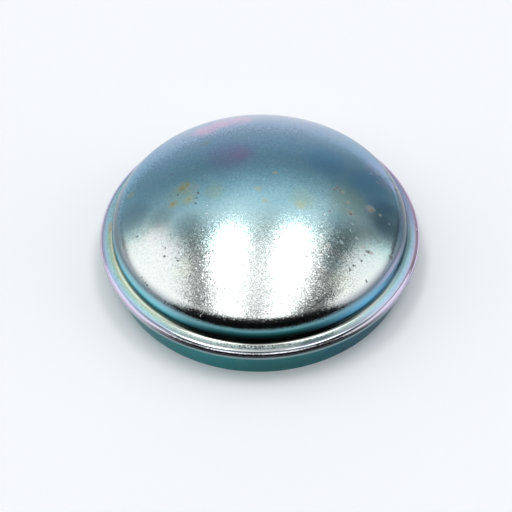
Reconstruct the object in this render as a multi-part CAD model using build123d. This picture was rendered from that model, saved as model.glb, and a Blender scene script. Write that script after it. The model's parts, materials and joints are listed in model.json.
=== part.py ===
from build123d import *
from math import cos, radians, sin
import os

# Hub grease cap, pressed from one round blank of sheet steel: a dome with a rounded shoulder and a
# short neck, a narrow flange hemmed back under itself, and a skirt that is driven into the hub.
# Millimetres, +Z up, origin at the centre of the skirt's lower edge, which the cap stands on.

# Sheet
sheet = 1.25  # thickness, the same from the dome's top to the skirt's lower edge
hem_gap = 0.6  # left between the two plies of the flange, by the tightest fold the steel takes

# Skirt, the press fit in the hub's bore
skirt_diameter = 76.0  # outside
skirt_depth = 7.65  # from the lower edge up to the flange's underside
skirt_bend_radius = 0.6  # outside, in the corner below the flange
lead_in_radius = 0.4  # rounds the outer lower edge, which enters the bore first
edge_break_radius = 0.15  # rounds the inner lower edge

# Flange, the stop on the hub's end face
flange_overhang = 3.0  # how far the hem stands out past the skirt

# Neck and dome
neck_inset = 0.25  # how far the neck stands inside the skirt's outer face
neck_wall = 0.25  # upright stretch between the neck's root and the shoulder
root_radius = 0.6  # outside, in the corner where the neck meets the flange
shoulder_radius = 8.3  # outside
dome_slope = 36.0  # degrees, of the dome where it runs into the shoulder

# Derived sizes, all on the outer skin of the sheet
skirt_radius = skirt_diameter / 2
hem_radius = sheet + hem_gap / 2
flange_radius = skirt_radius + flange_overhang
neck_radius = skirt_radius - neck_inset
flange_top = skirt_depth + 2 * hem_radius
shoulder_height = flange_top + root_radius + neck_wall
dome_radius = shoulder_radius + (neck_radius - shoulder_radius) / sin(radians(dome_slope))
dome_top = shoulder_height + dome_radius - (dome_radius - shoulder_radius) * cos(radians(dome_slope))
upper_ply = flange_radius - hem_radius - neck_radius - root_radius
lower_ply = flange_radius - hem_radius - skirt_radius - skirt_bend_radius
skirt_wall = skirt_depth - skirt_bend_radius

# The bent sheet from the dome's top to the skirt's lower edge, as pairs of a turn in degrees and a
# size. A left turn is positive, and its size is the bend's radius on the outer skin. With no turn,
# the size is the length of a straight stretch.
bends = [
    (-dome_slope, dome_radius),
    (dome_slope - 90, shoulder_radius),
    (0, neck_wall),
    (90, root_radius),
    (0, upper_ply),
    (-180, hem_radius),
    (0, lower_ply),
    (90, skirt_bend_radius),
    (0, skirt_wall),
]


def skin(depth):
    """Edges of the skin that lies this deep in the sheet, from the axis outwards. X is the distance from
    the axis and Y the height."""
    point = Vector(0, dome_top - depth)
    heading = Vector(1, 0)
    edges = []
    for turn, size in bends:
        if turn > 0:
            edge = JernArc(point, heading, size + depth, turn)
        elif turn < 0:
            edge = JernArc(point, heading, size - depth, turn)
        else:
            edge = Line(point, point + heading * size)
        edges.append(edge)
        point = edge @ 1
        heading = edge % 1
    return edges


def sheet_section():
    """Half of the cap's section: both skins, closed on the axis and along the cut lower edge."""
    outer = skin(0)
    inner = skin(sheet)
    axis_line = Line(inner[0] @ 0, outer[0] @ 0)
    lower_edge = Line(outer[-1] @ 1, inner[-1] @ 1)
    section = make_face([*outer, lower_edge, *inner, axis_line])
    inner_corner = section.vertices().group_by(Axis.Y)[0].sort_by(Axis.X)[0]
    section = fillet(inner_corner, edge_break_radius)
    outer_corner = section.vertices().group_by(Axis.Y)[0].sort_by(Axis.X)[-1]
    return fillet(outer_corner, lead_in_radius)


grease_cap = revolve(Plane.XZ * sheet_section(), Axis.Z)
grease_cap.label = "grease_cap"

os.makedirs("parts", exist_ok=True)
export_step(grease_cap, "parts/grease_cap.step")
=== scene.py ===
import json
from math import cos, pi, radians, sin

import bpy
from mathutils import Euler, Matrix, Vector


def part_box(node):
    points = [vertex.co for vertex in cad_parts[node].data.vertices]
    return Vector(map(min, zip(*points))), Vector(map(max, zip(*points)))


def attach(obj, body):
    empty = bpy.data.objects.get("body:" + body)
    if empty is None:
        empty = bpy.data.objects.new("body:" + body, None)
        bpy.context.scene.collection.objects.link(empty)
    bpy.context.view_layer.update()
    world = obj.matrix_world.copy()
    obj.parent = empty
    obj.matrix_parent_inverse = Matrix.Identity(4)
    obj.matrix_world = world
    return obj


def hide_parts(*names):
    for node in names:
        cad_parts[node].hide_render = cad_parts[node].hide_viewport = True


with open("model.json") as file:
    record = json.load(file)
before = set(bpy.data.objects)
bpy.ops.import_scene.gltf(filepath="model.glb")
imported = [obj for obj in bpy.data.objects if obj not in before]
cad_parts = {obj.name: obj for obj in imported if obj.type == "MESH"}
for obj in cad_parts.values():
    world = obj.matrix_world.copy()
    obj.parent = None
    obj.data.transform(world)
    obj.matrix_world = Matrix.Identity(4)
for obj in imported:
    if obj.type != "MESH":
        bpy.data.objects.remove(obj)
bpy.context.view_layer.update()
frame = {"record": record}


# Cap
# One round blank of sheet steel, pressed into a dome, hemmed into a flange and drawn down to a skirt.
# It is zinc plated with a blue passivation, which shimmers in rings and has started to stain and rust.
class Wire:
    """An output of a node. Arithmetic on it adds Math nodes to its tree."""

    def __init__(self, socket):
        self.socket = socket

    @staticmethod
    def node(tree, kind, settings=None, sockets=None):
        """Adds a node, with its settings first and then the values or wires of its sockets."""
        added = tree.nodes.new(kind)
        for name, value in (settings or {}).items():
            if name == "stops":
                ramp = added.color_ramp
                while len(ramp.elements) < len(value):
                    ramp.elements.new(1.0)
                for element, (position, colour) in zip(ramp.elements, value):
                    element.position = position
                    element.color = colour
            elif name == "choices":
                while len(added.index_switch_items) < value:
                    added.index_switch_items.new()
            else:
                setattr(added, name, value)
        for name, value in (sockets or {}).items():
            by_identifier = [s for s in added.inputs if s.identifier == name]
            socket = by_identifier[0] if by_identifier else added.inputs[name]
            if isinstance(value, Wire):
                tree.links.new(value.socket, socket)
            else:
                socket.default_value = value
        shown = [s for s in added.outputs if s.enabled]
        return Wire(shown[0] if shown else None)

    def output(self, name):
        """Another output of the same node."""
        return Wire(self.socket.node.outputs[name])

    def math(self, operation, *others):
        """The value of a Math node that takes this value and the others."""
        sockets = dict(zip(("Value", "Value_001", "Value_002"), (self, *others)))
        return Wire.node(self.socket.id_data, "ShaderNodeMath", {"operation": operation}, sockets)

    def __add__(self, other):
        return self.math("ADD", other)

    __radd__ = __add__

    def __sub__(self, other):
        return self.math("SUBTRACT", other)

    def __rsub__(self, other):
        return self.math("MULTIPLY_ADD", -1, other)

    def __mul__(self, other):
        return self.math("MULTIPLY", other)

    __rmul__ = __mul__

    def __truediv__(self, other):
        return self.math("DIVIDE", other)

    def __rtruediv__(self, other):
        return self.math("POWER", -1) * other

    def rise(self, start, end):
        """0 up to start, 1 from end on, and a smooth step between them."""
        return Wire.node(
            self.socket.id_data,
            "ShaderNodeMapRange",
            {"interpolation_type": "SMOOTHSTEP"},
            {"Value": self, "From Min": start, "From Max": end},
        )


mounts = {mount["name"]: mount for mount in frame["record"]["mounts"]}
cap_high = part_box("grease_cap")[1]

cap_sizes = {
    "Sheet": 0.00125,
    "Hem gap": 0.0006,
    "Skirt radius": mounts["skirt"]["dims"]["r_mm"] / 1000,
    "Skirt depth": mounts["flange_seat"]["pos_m"][2],
    "Skirt bend": 0.0006,
    "Flange radius": cap_high.x,
    "Root bend": 0.0006,
    "Neck inset": 0.00025,
    "Neck wall": 0.00025,
    "Shoulder bend": 0.0083,
    "Dome slope": radians(36),
    "Flange dish": 0.00013,
    "Crease depth": 0.00003,
    "Dome waviness": 0.00003,
}
bend_steps = 16
turns_round = 400
lower_edge_round = 0.0004
crease_angle = radians(54)
crease_spread = radians(10)

pressing = bpy.data.node_groups.new("pressed_cap", "GeometryNodeTree")
pressing.interface.new_socket("Geometry", in_out="OUTPUT", socket_type="NodeSocketGeometry")
size_identifiers = {}
for name in cap_sizes:
    socket = pressing.interface.new_socket(name, in_out="INPUT", socket_type="NodeSocketFloat")
    size_identifiers[name] = socket.identifier
group_input = Wire.node(pressing, "NodeGroupInput")
size = {name: group_input.output(name) for name in cap_sizes}

hem_bend = size["Sheet"] + size["Hem gap"] / 2
flange_top = size["Skirt depth"] + 2 * hem_bend
neck_radius = size["Skirt radius"] - size["Neck inset"]
shoulder_height = flange_top + size["Root bend"] + size["Neck wall"]
shoulder_bend = size["Shoulder bend"]
slope = size["Dome slope"]
dome_bend = shoulder_bend + (neck_radius - shoulder_bend) / slope.math("SINE")
dome_top = shoulder_height + dome_bend - (dome_bend - shoulder_bend) * slope.math("COSINE")
half_slope = slope / 2
dome_corner = dome_bend * half_slope.math("TANGENT")
half_shoulder = pi / 4 - half_slope
shoulder_corner = shoulder_height + shoulder_bend * half_shoulder.math("TANGENT")

sheet_corners = [  # distance from the axis, height and bend of each corner, from the dome's top down
    (0, dome_top, 0),
    (dome_corner, dome_top, dome_bend),
    (neck_radius, shoulder_corner, shoulder_bend),
    (neck_radius, flange_top, size["Root bend"]),
    (size["Flange radius"], flange_top, hem_bend),
    (size["Flange radius"], size["Skirt depth"], hem_bend),
    (size["Skirt radius"], size["Skirt depth"], size["Skirt bend"]),
    (size["Skirt radius"], 0, 0),
]
corner_number = Wire.node(pressing, "GeometryNodeInputIndex")
corner_places = {"Index": corner_number}
corner_bends = {"Index": corner_number}
for number, (distance, height, bend) in enumerate(sheet_corners):
    # A section swept round a circle has its X outwards from the circle and its Y downwards.
    outwards = distance - size["Flange radius"]
    corner = Wire.node(pressing, "ShaderNodeCombineXYZ", {}, {"X": outwards, "Y": 0 - height})
    corner_places[f"Item_{number}"] = corner
    corner_bends[f"Item_{number}"] = bend
corner_place = Wire.node(
    pressing,
    "GeometryNodeIndexSwitch",
    {"data_type": "VECTOR", "choices": len(sheet_corners)},
    corner_places,
)
corner_bend = Wire.node(
    pressing,
    "GeometryNodeIndexSwitch",
    {"data_type": "FLOAT", "choices": len(sheet_corners)},
    corner_bends,
)
points = Wire.node(
    pressing,
    "GeometryNodePoints",
    {},
    {"Count": len(sheet_corners), "Position": corner_place},
)
section = Wire.node(pressing, "GeometryNodePointsToCurves", {}, {"Points": points})
section = Wire.node(
    pressing,
    "GeometryNodeFilletCurve",
    {"mode": "POLY"},
    {"Curve": section, "Count": bend_steps, "Radius": corner_bend},
)
along = Wire.node(pressing, "GeometryNodeSplineParameter")
section = Wire.node(
    pressing,
    "GeometryNodeStoreNamedAttribute",
    {"data_type": "FLOAT", "domain": "POINT"},
    {"Geometry": section, "Name": "run", "Value": along.output("Length")},
)
ring = Wire.node(
    pressing,
    "GeometryNodeCurvePrimitiveCircle",
    {"mode": "RADIUS"},
    {"Resolution": turns_round, "Radius": size["Flange radius"]},
)
sheet = Wire.node(pressing, "GeometryNodeCurveToMesh", {}, {"Curve": ring, "Profile Curve": section})
sheet = Wire.node(pressing, "GeometryNodeMergeByDistance", {}, {"Geometry": sheet, "Distance": 0.000002})

position = Wire.node(pressing, "GeometryNodeInputPosition")
place = Wire.node(pressing, "ShaderNodeSeparateXYZ", {}, {"Vector": position})
across = place.output("X")
back = place.output("Y")
height = place.output("Z")
distance = (across * across + back * back).math("SQRT")
hem_out = distance - (size["Flange radius"] - hem_bend)
hem_up = height - (flange_top - hem_bend)
hem_angle = hem_up.math("ARCTAN2", hem_out)
off_crease = (hem_angle - crease_angle).math("ABSOLUTE")
crease = off_crease.rise(crease_spread, 0) * hem_out.rise(0, 0.0001)
root_end = neck_radius + size["Root bend"]
hem_start = size["Flange radius"] - hem_bend
inwards = ((hem_start - distance) / (hem_start - root_end)).math("MAXIMUM", 0)
dish = inwards * distance.rise(neck_radius, (neck_radius + root_end) / 2)
dish = dish * height.rise(flange_top - 0.0003, flange_top - 0.0001)
swell = Wire.node(pressing, "ShaderNodeTexNoise", {}, {"Scale": 70, "Detail": 1})
sink = crease * size["Crease depth"] + swell * height.rise(0.016, 0.022) * size["Dome waviness"]
sink = sink - dish * size["Flange dish"]
normal = Wire.node(pressing, "GeometryNodeInputNormal")
shift = Wire.node(
    pressing,
    "ShaderNodeVectorMath",
    {"operation": "SCALE"},
    {"Vector": normal, "Scale": 0 - sink},
)
sheet = Wire.node(pressing, "GeometryNodeSetPosition", {}, {"Geometry": sheet, "Offset": shift})

sheet = Wire.node(pressing, "GeometryNodeSetShadeSmooth", {}, {"Geometry": sheet})
sheet = Wire.node(pressing, "GeometryNodeRealizeInstances", {}, {"Geometry": sheet})
plating = bpy.data.materials.new("zinc_plated_steel")
sheet = Wire.node(pressing, "GeometryNodeSetMaterial", {}, {"Geometry": sheet, "Material": plating})
Wire.node(pressing, "NodeGroupOutput", {}, {"Geometry": sheet})

cap = bpy.data.objects.new("cap", bpy.data.meshes.new("cap"))
bpy.context.scene.collection.objects.link(cap)
press = cap.modifiers.new("press", "NODES")
press.node_group = pressing
for name, value in cap_sizes.items():
    press[size_identifiers[name]] = value
thickness = cap.modifiers.new("sheet thickness", "SOLIDIFY")
thickness.thickness = cap_sizes["Sheet"]
thickness.offset = -1
thickness.use_even_offset = True
thickness.use_quality_normals = True
edge = cap.modifiers.new("lower edge", "BEVEL")
edge.width = lower_edge_round
edge.segments = 3
edge.limit_method = "ANGLE"
edge.angle_limit = radians(60)
bpy.context.view_layer.update()
cap.data = bpy.data.meshes.new_from_object(cap.evaluated_get(bpy.context.evaluated_depsgraph_get()))
cap.modifiers.clear()
cap.data.name = "cap"

plating.use_nodes = True
coat = plating.node_tree
coat.nodes.clear()
spot = Wire.node(coat, "ShaderNodeTexCoord").output("Object")
spot = Wire.node(coat, "ShaderNodeVectorMath", {"operation": "SCALE"}, {"Vector": spot, "Scale": 1000})
split = Wire.node(coat, "ShaderNodeSeparateXYZ", {}, {"Vector": spot})
x, y, z = split.output("X"), split.output("Y"), split.output("Z")
run = Wire.node(coat, "ShaderNodeAttribute", {"attribute_name": "run"}).output("Fac") * 1000


def vector(operation, **sockets):
    return Wire.node(coat, "ShaderNodeVectorMath", {"operation": operation}, sockets)


def clouds(size_mm, detail=2.0, offset=(0, 0, 0)):
    """Soft random patches of about this size, from 0 to 1."""
    shifted = vector("ADD", Vector=spot, Vector_001=offset)
    sockets = {"Vector": shifted, "Scale": 1 / size_mm, "Detail": detail}
    return Wire.node(coat, "ShaderNodeTexNoise", {}, sockets)


def blend(mask, under, over):
    """The colour under, with the colour over it where the mask is 1."""
    sockets = {"Factor_Float": mask, "A_Color": under, "B_Color": over}
    return Wire.node(coat, "ShaderNodeMix", {"data_type": "RGBA"}, sockets)


def tint_along(place, start, end, stops):
    """A tint that follows a place in millimetres, from stops of a place, a red, a green and a blue."""
    spread = [((at - start) / (end - start), (*colour, 1)) for at, *colour in stops]
    return Wire.node(coat, "ShaderNodeValToRGB", {"stops": spread}, {"Fac": (place - start) / (end - start)})


dome_tints = [  # from the front of the dome to its back
    (-40.0, 0.88, 0.92, 0.90),
    (-25.0, 0.86, 0.91, 0.89),
    (-20.0, 0.78, 0.87, 0.86),
    (-17.0, 0.61, 0.79, 0.78),
    (-11.0, 0.47, 0.72, 0.78),
    (-5.0, 0.33, 0.61, 0.72),
    (2.0, 0.21, 0.46, 0.61),
    (12.0, 0.18, 0.38, 0.56),
    (24.0, 0.25, 0.39, 0.57),
    (34.0, 0.38, 0.43, 0.59),
]
# The tints of the rim aren't the plating's colours alone. Their darkest and brightest bands stand in for
# the shadow in the corner and for reflections, as seen from the camera, that the lights below don't give.
left_rim_tints = [  # along the sheet, from the shoulder down to the skirt's lower edge
    (40.0, 0.22, 0.27, 0.31),
    (40.55, 0.16, 0.25, 0.28),
    (41.0, 0.25, 0.42, 0.48),
    (41.5, 0.26, 0.55, 0.63),
    (41.95, 0.26, 0.60, 0.68),
    (42.4, 0.18, 0.56, 0.63),
    (42.85, 0.06, 0.30, 0.35),
    (43.3, 0.01, 0.10, 0.12),
    (43.7, 0.004, 0.045, 0.05),
    (44.1, 0.03, 0.07, 0.07),
    (44.5, 0.10, 0.15, 0.14),
    (44.8, 0.26, 0.34, 0.30),
    (45.05, 0.80, 0.90, 0.76),
    (45.35, 0.84, 0.95, 0.80),
    (45.65, 0.60, 0.74, 0.58),
    (45.95, 0.50, 0.74, 0.60),
    (46.4, 0.47, 0.80, 0.82),
    (46.9, 0.50, 0.78, 0.95),
    (47.5, 0.56, 0.66, 0.94),
    (48.0, 0.74, 0.64, 0.86),
    (48.5, 0.58, 0.54, 0.64),
    (48.9, 0.38, 0.40, 0.45),
    (49.3, 0.42, 0.48, 0.53),
    (50.0, 0.36, 0.46, 0.50),
    (51.6, 0.20, 0.30, 0.32),
    (52.7, 0.09, 0.29, 0.30),
    (53.6, 0.06, 0.26, 0.27),
    (60.5, 0.05, 0.24, 0.25),
]
right_rim_tints = [
    (40.0, 0.24, 0.27, 0.33),
    (40.6, 0.13, 0.20, 0.25),
    (41.0, 0.20, 0.34, 0.43),
    (41.5, 0.21, 0.41, 0.55),
    (41.9, 0.21, 0.45, 0.64),
    (42.4, 0.14, 0.45, 0.66),
    (42.8, 0.12, 0.40, 0.60),
    (43.25, 0.05, 0.22, 0.35),
    (43.65, 0.006, 0.065, 0.11),
    (44.1, 0.008, 0.06, 0.09),
    (44.5, 0.02, 0.07, 0.08),
    (44.8, 0.10, 0.15, 0.15),
    (45.1, 0.40, 0.45, 0.43),
    (45.35, 0.90, 0.96, 0.92),
    (45.65, 0.44, 0.66, 0.64),
    (46.1, 0.46, 0.76, 0.88),
    (46.8, 0.56, 0.74, 0.98),
    (47.4, 0.64, 0.66, 0.86),
    (48.0, 0.72, 0.63, 0.82),
    (48.5, 0.50, 0.47, 0.62),
    (48.9, 0.36, 0.36, 0.45),
    (49.2, 0.28, 0.31, 0.38),
    (51.6, 0.18, 0.26, 0.31),
    (52.7, 0.08, 0.25, 0.32),
    (53.6, 0.045, 0.20, 0.26),
    (60.5, 0.04, 0.19, 0.25),
]
front_rim_tints = [
    (40.0, 0.20, 0.23, 0.25),
    (40.5, 0.10, 0.15, 0.16),
    (40.8, 0.10, 0.18, 0.19),
    (41.2, 0.12, 0.29, 0.32),
    (41.5, 0.12, 0.30, 0.32),
    (41.9, 0.03, 0.14, 0.15),
    (42.4, 0.012, 0.055, 0.058),
    (42.8, 0.003, 0.022, 0.022),
    (43.2, 0.001, 0.006, 0.006),
    (45.05, 0.012, 0.014, 0.012),
    (45.25, 0.06, 0.065, 0.055),
    (45.4, 0.44, 0.46, 0.41),
    (45.55, 0.80, 0.84, 0.78),
    (45.75, 0.82, 0.90, 0.86),
    (46.0, 0.58, 0.68, 0.65),
    (46.4, 0.38, 0.48, 0.46),
    (46.8, 0.36, 0.42, 0.43),
    (47.1, 0.56, 0.61, 0.60),
    (47.4, 0.62, 0.66, 0.68),
    (47.53, 0.07, 0.10, 0.11),
    (47.78, 0.07, 0.10, 0.11),
    (47.9, 0.66, 0.67, 0.72),
    (48.15, 0.66, 0.64, 0.70),
    (48.3, 0.12, 0.12, 0.14),
    (48.85, 0.02, 0.024, 0.028),
    (49.0, 0.06, 0.08, 0.085),
    (49.2, 0.24, 0.34, 0.36),
    (49.4, 0.20, 0.31, 0.33),
    (50.0, 0.12, 0.27, 0.28),
    (53.6, 0.05, 0.21, 0.22),
    (60.5, 0.05, 0.22, 0.23),
]
dome_place = y + (clouds(9.0) - 0.5) * 10 - 8 * x.rise(-20, -27) * y.rise(-3, -13)
dome_tint = tint_along(dome_place, -40, 40, dome_tints)
rim_place = run + (clouds(7.0) - 0.5) * 0.3
left_rim = tint_along(rim_place, 40, 60.5, left_rim_tints)
right_rim = tint_along(rim_place, 40, 60.5, right_rim_tints)
front_rim = tint_along(rim_place, 40, 60.5, front_rim_tints)
rim_tint = blend(x.rise(-8, 22), left_rim, right_rim)
to_front = y - 2 * run.rise(44.0, 45.5) * x.rise(-20, -10)
rim_tint = blend(to_front.rise(-27, -37), rim_tint, front_rim)
# Corrections to the lists in stretches of the rim, for the film's colour there and for painted shade and
# painted reflections.
right_front = x.rise(7, 11) * y.rise(-20, -30)
flat_edge = right_front * x.rise(25, 21) * run.rise(45.0, 45.15) * run.rise(45.6, 45.5)
rim_tint = blend(flat_edge * 0.8, rim_tint, (0.10, 0.12, 0.11, 1))
flat = right_front * x.rise(19, 15) * run.rise(45.9, 46.2) * run.rise(47.0, 46.8)
rim_tint = blend(flat * 0.9, rim_tint, (0.12, 0.18, 0.19, 1))
hem_line = right_front * x.rise(27, 22) * run.rise(46.8, 47.0) * run.rise(47.6, 47.45)
rim_tint = blend(hem_line * 0.9, rim_tint, (0.24, 0.27, 0.33, 1))
left_front = x.rise(-14, -19) * y.rise(-20, -30)
crease_line = left_front * run.rise(47.4, 47.5) * run.rise(47.85, 47.75)
rim_tint = blend(crease_line * 0.8, rim_tint, (0.30, 0.35, 0.42, 1))
at_right = y.rise(-27, -17) * x.rise(8, 20)
rim_tint = blend(at_right * run.rise(40.9, 40.4) * 0.7, rim_tint, (0.15, 0.19, 0.25, 1))
on_neck = at_right * run.rise(40.4, 40.9) * run.rise(42.1, 41.6)
rim_tint = blend(on_neck * 0.9, rim_tint, (0.44, 0.41, 0.60, 1))
under_neck = at_right * run.rise(41.7, 42.1) * run.rise(44.4, 43.4)
rim_tint = blend(under_neck * 0.8, rim_tint, (0.04, 0.11, 0.18, 1))
below = run.rise(51.6, 53.6)
rim_tint = blend(below * x.rise(2, -16) * 0.8, rim_tint, (0.05, 0.33, 0.35, 1))
rim_tint = blend(below * x.rise(4, 24) * 0.8, rim_tint, (0.02, 0.165, 0.25, 1))
rim_tint = blend(below * clouds(3.0).rise(0.45, 0.7) * 0.35, rim_tint, (0.09, 0.27, 0.25, 1))
right_root = run.rise(44.3, 44.9) * run.rise(46.2, 45.8) * y.rise(-26, -14) * x.rise(0, 10)
rim_tint = blend(right_root * 0.8, rim_tint, (0.33, 0.59, 0.68, 1))
left_root = run.rise(44.3, 44.9) * run.rise(46.8, 46.3) * y.rise(-1, 4) * x.rise(0, -10)
rim_tint = blend(left_root * 0.8, rim_tint, (0.44, 0.80, 0.95, 1))
blue = x.rise(15, 25) * y.rise(-6, 4) * run.rise(44.6, 45.0) * run.rise(47.4, 46.8)
rim_tint = blend(blue * 0.75, rim_tint, (0.45, 0.50, 0.80, 1))
pink = x.rise(15, 25) * y.rise(-20, -10) * run.rise(46.8, 47.4) * run.rise(48.7, 48.3)
rim_tint = blend(pink * 0.7, rim_tint, (0.90, 0.70, 0.92, 1))
tint = blend(run.rise(37.5, 40.5), dome_tint, rim_tint)
# Painted shade: the shoulder and neck are darkened in the base colour at the sides and back of the cap, most
# at the right, where they stand in for the dark reflections seen there.
painted_side_shade = run.rise(36.5, 38.5) * run.rise(43.0, 41.8) * y.rise(-20, -6)
painted_side_shade = painted_side_shade * (1 - 0.6 * x.rise(0, -10) * y.rise(2, 12))
tint = blend(painted_side_shade * (0.6 + 0.36 * x.rise(-10, 10)), tint, (0.06, 0.11, 0.145, 1))

facing = Wire.node(coat, "ShaderNodeNewGeometry").output("Normal")
upwards = Wire.node(coat, "ShaderNodeSeparateXYZ", {}, {"Vector": facing}).output("Z").rise(0, 0.1)
wobble_x = (clouds(1.2) - 0.5) * 1.2
wobble_y = (clouds(1.2, offset=(40, 0, 0)) - 0.5) * 1.2
flat_spot = Wire.node(coat, "ShaderNodeCombineXYZ", {}, {"X": x + wobble_x, "Y": y + wobble_y})


def marks(places):
    """A mask of marks on the outside of the cap, from the x, the y and the radius of each in
    millimetres."""
    mask = 0
    for mark_x, mark_y, radius in places:
        off = vector("DISTANCE", Vector=flat_spot, Vector_001=(mark_x, mark_y, 0))
        mask = off.rise(radius * 1.4, radius * 0.4).math("MAXIMUM", mask)
    return mask * upwards


on_dome = z.rise(15, 19)
tint = blend(on_dome * clouds(0.6).rise(0.40, 0.75) * 0.14, tint, (0.60, 0.72, 0.80, 1))
tint = blend(on_dome * clouds(0.6, offset=(0, 40, 0)).rise(0.40, 0.75) * 0.14, tint, (0.05, 0.22, 0.28, 1))
# Fine dark pits in the zinc.
in_front = on_dome * y.rise(-9, -16) * x.rise(-23, -17) * x.rise(26, 20)
pits = clouds(0.3, 0.0, (0, 0, 40)).rise(0.54, 0.64) * in_front
tint = blend(pits * 0.38, tint, (0.04, 0.06, 0.06, 1))
films = [  # colours laid on in patches, and how strongly; most are the passivation where it is thicker or stained
    (0.55, (0.11, 0.33, 0.58, 1), [(27.5, 3.5, 5.5), (17.0, 8.0, 5.5), (30.0, -2.0, 4.0)]),
    (0.40, (0.03, 0.17, 0.30, 1), [(31.0, -8.8, 3.0)]),
    (0.40, (0.45, 0.48, 0.74, 1), [(30.5, 11.5, 3.5), (33.0, 6.5, 2.5)]),
    (0.35, (0.20, 0.48, 0.55, 1), [(20.5, -12.5, 3.5), (19.0, -17.5, 3.0), (17.5, -22.5, 2.5)]),
    (0.45, (0.15, 0.30, 0.36, 1), [(-17.2, -12.0, 3.2), (-24.0, -8.0, 3.0)]),
    (
        0.45,
        (0.36, 0.53, 0.42, 1),
        [(22.0, -4.5, 4.5), (10.5, -6.8, 3.2), (-18.5, -2.5, 3.8), (-11.0, -3.8, 2.6)],
    ),
    (0.42, (0.27, 0.24, 0.50, 1), [(-6.8, 9.0, 6.0)]),
    (0.25, (0.40, 0.22, 0.48, 1), [(-4.5, 8.8, 3.0)]),
    (0.75, (0.62, 0.42, 0.62, 1), [(-13.5, 24.5, 3.6), (-9.5, 27.0, 3.0), (-4.6, 28.8, 3.4)]),
    (0.60, (0.24, 0.38, 0.45, 1), [(-4.1, 27.5, 1.0), (-13.5, 16.0, 1.4), (21.0, 20.5, 1.4)]),
    (0.25, (0.88, 0.80, 0.86, 1), [(-24.4, -12.0, 3.0), (-21.6, -17.0, 3.0)]),
    (0.35, (0.80, 0.88, 0.72, 1), [(-18.4, -23.0, 2.6), (19.0, -26.0, 2.6)]),
    # Darker patches low on the dome at its right and left sides, which darken it there.
    (0.50, (0.06, 0.12, 0.19, 1), [(33.0, -5.5, 5.0), (30.5, -6.5, 4.0)]),
    (0.30, (0.11, 0.15, 0.21, 1), [(-31.5, -4.0, 4.0)]),
    (
        0.50,
        (0.46, 0.50, 0.30, 1),
        [(-18.6, -0.3, 1.8), (-21.2, -5.1, 1.3), (-17.1, -4.9, 1.5), (-32.4, 4.1, 1.0)],
    ),
    (
        0.50,
        (0.52, 0.56, 0.38, 1),
        [(-0.2, -4.1, 0.8), (4.1, 1.4, 0.7), (10.0, -8.6, 1.2), (1.5, -7.8, 0.8)],
    ),
    (0.50, (0.72, 0.50, 0.30, 1), [(-38.2, 1.9, 0.8), (-38.15, 0.2, 0.8)]),
    (
        0.60,
        (0.40, 0.38, 0.16, 1),
        [(-18.9, -0.6, 0.8), (-17.6, 0.3, 0.6), (-21.3, -4.9, 0.5), (-17.2, -4.8, 0.4)],
    ),
]
for strength, colour, places in films:
    tint = blend(marks(places) * strength, tint, colour)

spots = [  # dull spots of tan rust, red rust, white zinc rust, dirt and scratches, in this order
    (
        (0.21, 0.20, 0.17, 1),
        [(20.6, -2.3, 0.6), (22.2, -8.4, 0.9), (27.6, -5.1, 1.1), (21.9, -5.4, 0.6), (29.8, -6.0, 0.4)],
    ),
    (
        (0.13, 0.09, 0.08, 1),
        [(19.4, -1.2, 0.5), (18.8, -2.2, 0.5), (20.0, -2.0, 0.4), (17.3, -9.2, 0.35), (22.4, -8.5, 0.35)],
    ),
    ((0.16, 0.11, 0.09, 1), [(24.0, -9.3, 0.35), (27.9, -5.4, 0.35), (6.6, 1.9, 0.3), (2.8, -1.5, 0.25)]),
    (
        (0.23, 0.29, 0.31, 1),
        [
            (21.2, -10.8, 0.25), (22.5, -11.4, 0.35), (22.1, -13.3, 0.35), (23.7, -15.0, 0.4),
            (19.7, -17.0, 0.5),
        ],
    ),
    (
        (0.18, 0.24, 0.27, 1),
        [(26.0, -13.2, 0.25), (32.2, -7.6, 0.25), (28.6, 8.3, 0.25), (-15.2, -1.4, 0.6)],
    ),
    (
        (0.44, 0.41, 0.40, 1),
        [(16.4, -18.5, 0.6), (25.2, -16.8, 0.45), (27.0, -17.5, 0.55), (11.0, -22.0, 0.4)],
    ),
    (
        (0.04, 0.05, 0.05, 1),
        [
            (-21.8, 5.8, 0.4), (-15.0, -3.5, 0.4), (-15.5, -6.4, 0.3), (-20.2, -2.4, 0.25),
            (-15.4, -4.9, 0.25),
        ],
    ),
    (
        (0.09, 0.08, 0.07, 1),
        [(-28.8, -21.3, 0.2), (-28.4, -22.0, 0.2), (-28.0, -22.7, 0.2), (-27.6, -23.4, 0.18)],
    ),
    (
        (0.07, 0.07, 0.07, 1),
        [(-30.2, -10.6, 0.3), (-23.0, -16.6, 0.25), (-23.2, -18.7, 0.3), (-19.9, -20.7, 0.35)],
    ),
    (
        (0.07, 0.07, 0.07, 1),
        [(21.4, -23.0, 0.4), (22.5, -22.0, 0.3), (24.4, -20.1, 0.4), (26.2, -17.5, 0.4), (25.3, -18.8, 0.3)],
    ),
    (
        (0.09, 0.09, 0.11, 1),
        [(32.0, -16.4, 0.35), (25.5, -24.6, 0.3), (33.3, 12.7, 0.5), (35.1, 6.1, 0.5), (30.2, 5.4, 0.5)],
    ),
    (
        (0.55, 0.56, 0.54, 1),
        [(-14.6, -33.2, 0.16), (-14.0, -32.9, 0.16), (-13.4, -32.6, 0.16), (-12.8, -32.3, 0.14)],
    ),
    (
        (0.80, 0.88, 0.88, 1),
        [
            (40.2, -1.6, 0.25), (-12.4, -7.8, 0.15), (-12.8, -10.1, 0.2), (-5.2, -5.6, 0.14),
            (16.0, -10.4, 0.16),
        ],
    ),
]
dull = 0
for colour, places in spots:
    mask = marks(places)
    tint = blend(mask * 0.85, tint, colour)
    dull = mask.math("MAXIMUM", dull)

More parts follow.
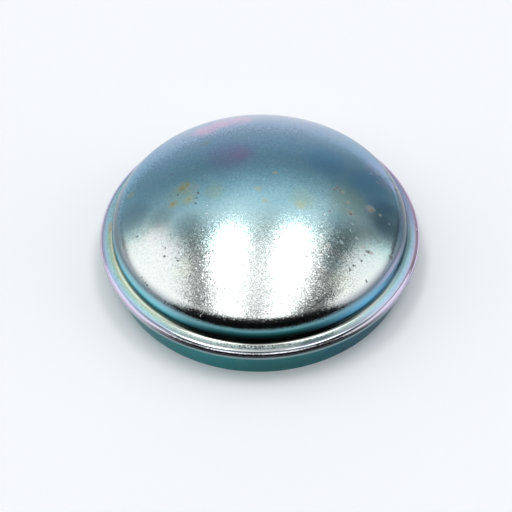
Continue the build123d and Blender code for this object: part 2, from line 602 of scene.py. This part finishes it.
# The crystals of the zinc, each leaning its own way.
grain_size = 0.19
grain_lean = 0.11
flange_lean = 0.14
hem_lean = 0.12
grain = Wire.node(coat, "ShaderNodeTexVoronoi", {}, {"Vector": spot, "Scale": 1 / grain_size})
facets = grain.output("Color")
odd = Wire.node(coat, "ShaderNodeSeparateColor", {}, {"Color": facets}).output("Blue")
lean = vector("SUBTRACT", Vector=facets, Vector_001=(0.5, 0.5, 0.5))
dome_reach = grain_lean * (0.3 + 0.7 * z.rise(13, 16.5))
flange_reach = flange_lean * run.rise(45.6, 45.9) * run.rise(47.1, 46.7)
hem_reach = hem_lean * run.rise(47.5, 48.0) * run.rise(49.6, 49.0)
reach = (dome_reach + flange_reach + hem_reach) * (1 - 0.55 * x.rise(14, 26))
lean = vector("SCALE", Vector=lean, Scale=reach * (0.6 + 1.3 * odd.math("POWER", 4)))
lumps = vector("NORMALIZE", Vector=vector("ADD", Vector=facing, Vector_001=lean))
surface = Wire.node(
    coat,
    "ShaderNodeBsdfPrincipled",
    {},
    {
        "Base Color": tint,
        "Metallic": 1 - 0.85 * dull,
        "Roughness": 0.10 + 0.05 * z.rise(14, 20) + clouds(5.0) * 0.03 + 0.35 * dull.rise(0.6, 1.0),
        "Normal": lumps,
    },
)
Wire.node(coat, "ShaderNodeOutputMaterial", {}, {"Surface": surface})

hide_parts("grease_cap")
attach(cap, "root")


# Table
# A wide white table top, which the cap stands on. It is a smooth painted board.
table_reach = 4.0
table_mesh = bpy.data.meshes.new("table")
table_corners = [(-table_reach, -table_reach, 0), (table_reach, -table_reach, 0)]
table_corners += [(table_reach, table_reach, 0), (-table_reach, table_reach, 0)]
table_mesh.from_pydata(table_corners, [], [(0, 1, 2, 3)])
table = bpy.data.objects.new("table", table_mesh)
bpy.context.scene.collection.objects.link(table)
paint = bpy.data.materials.new("table_paint")
paint.use_nodes = True
paint.node_tree.nodes.clear()
board = Wire.node(
    paint.node_tree,
    "ShaderNodeBsdfPrincipled",
    {},
    {"Base Color": (0.945, 0.965, 1.0, 1), "Roughness": 0.6, "Specular IOR Level": 0.1},
)
Wire.node(paint.node_tree, "ShaderNodeOutputMaterial", {}, {"Surface": board})
table_mesh.materials.append(paint)


# Light
# Two long soft boxes hang side by side over the table, with the camera's boom in the gap between them.
# A round one stands at each side and a pale wall behind, and the room in front is dark.
studio = bpy.data.worlds.new("studio")
bpy.context.scene.world = studio
studio.use_nodes = True
room = studio.node_tree
room.nodes.clear()
direction = Wire.node(room, "ShaderNodeTexCoord").output("Generated")
split = Wire.node(room, "ShaderNodeSeparateXYZ", {}, {"Vector": direction})
to_right, to_back, to_top = split.output("X"), split.output("Y"), split.output("Z")
above = to_top.math("MAXIMUM", 0.02)
overhead_x = to_right / above
overhead_y = to_back / above

askew_x = overhead_x - 0.15 * overhead_y
near = overhead_y.rise(-0.4, -1.1)
spill = 0.3 * askew_x.rise(-1.1, -0.95) * askew_x.rise(-0.39, -0.50)
spill = spill + 0.1 * askew_x.rise(0.48, 0.62) * askew_x.rise(1.4, 1.1)
right_inset = 0.1 * overhead_y.rise(-0.3, -0.6) - 0.2 * overhead_y.rise(-0.75, -1.2)
right_edge = (askew_x + right_inset).rise(0.72, 0.44)
hanging = askew_x.rise(-0.60, -0.34) * right_edge + spill * near
hanging = hanging * overhead_y.rise(-1.42, -1.12) * overhead_y.rise(0.95, 0.2)
boom = (askew_x - 0.04).math("ABSOLUTE").rise(0.16, 0.05)
boom = boom * (0.28 + 0.2 * overhead_y.rise(0.0, 0.25) + 0.55 * overhead_y.rise(-0.25, -0.7))
hanging = hanging * (1 - boom)
bulbs = (askew_x.math("ABSOLUTE") - 0.28).math("ABSOLUTE").rise(0.17, 0.0)
bulbs = bulbs * overhead_y.rise(-0.35, 0.0) * overhead_y.rise(0.35, 0.05)


def round_box(azimuth, elevation, spread):
    """A round soft box in this direction, which fills this half angle. The azimuth is from the back to
    the right."""
    level = cos(elevation)
    aim = (sin(azimuth) * level, cos(azimuth) * level, sin(elevation))
    sockets = {"Vector": direction, "Vector_001": aim}
    off = Wire.node(room, "ShaderNodeVectorMath", {"operation": "DOT_PRODUCT"}, sockets)
    return off.rise(cos(spread + radians(4)), cos(spread - radians(4)))


left_box = round_box(radians(-93.5), radians(26), radians(29)) * to_top.rise(-0.15, 0.15)
right_box = round_box(radians(99.5), radians(22.5), radians(27.5)) * to_top.rise(-0.15, 0.1)
wall = Wire.node(
    room,
    "ShaderNodeValToRGB",
    {
        "stops": [
            (0.0, (0.42, 0.42, 0.42, 1)),
            (0.47, (0.38, 0.38, 0.38, 1)),
            (0.64, (0.57, 0.57, 0.57, 1)),
            (0.79, (0.82, 0.82, 0.82, 1)),
            (0.88, (1.00, 1.00, 1.00, 1)),
        ]
    },
    {"Fac": to_top},
)
wall_light = (1.1 * wall + 0.4 * to_back.rise(0.8, 1.0)) * (0.02 + 0.98 * to_back.rise(0.08, 0.55))
wall_light = wall_light * (1 + 0.4 * to_right.rise(-0.2, -0.7) - 0.1 * to_right.rise(0.45, 0.8))
dark = (1 - hanging) * (1 - left_box) * (1 - right_box)
lamps = hanging * (1.34 + 1.1 * overhead_y.rise(0.0, -0.8) + 9 * bulbs) + left_box * 1.35 + right_box * 1.3
light = lamps + wall_light * dark
sky = Wire.node(room, "ShaderNodeBackground", {}, {"Strength": light})
Wire.node(room, "ShaderNodeOutputWorld", {}, {"Surface": sky})


# Camera
# It stands in front of the cap and looks down on it, a little to the left of its middle.
camera_distance = 0.369
camera_elevation = radians(48.29)
camera_roll = radians(-1.19)
aim_left = radians(0.17)
aim_down = radians(0.019)
image_width = 512
focal_pixels = 1408.4
lens = bpy.data.cameras.new("camera")
lens.sensor_width = 36
lens.lens = lens.sensor_width * focal_pixels / image_width
lens.clip_start = 0.01
camera = bpy.data.objects.new("camera", lens)
bpy.context.scene.collection.objects.link(camera)
stand = Vector((0, -cos(camera_elevation), sin(camera_elevation))) * camera_distance
tilt = Euler((pi / 2 - camera_elevation, 0, 0)).to_matrix()
aim = Matrix.Rotation(aim_left, 3, "Y") @ Matrix.Rotation(-aim_down, 3, "X")
turn = tilt @ Matrix.Rotation(camera_roll, 3, "Z") @ aim
camera.matrix_world = Matrix.Translation(stand) @ turn.to_4x4()
bpy.context.scene.camera = camera
bpy.context.scene.view_settings.view_transform = "Standard"
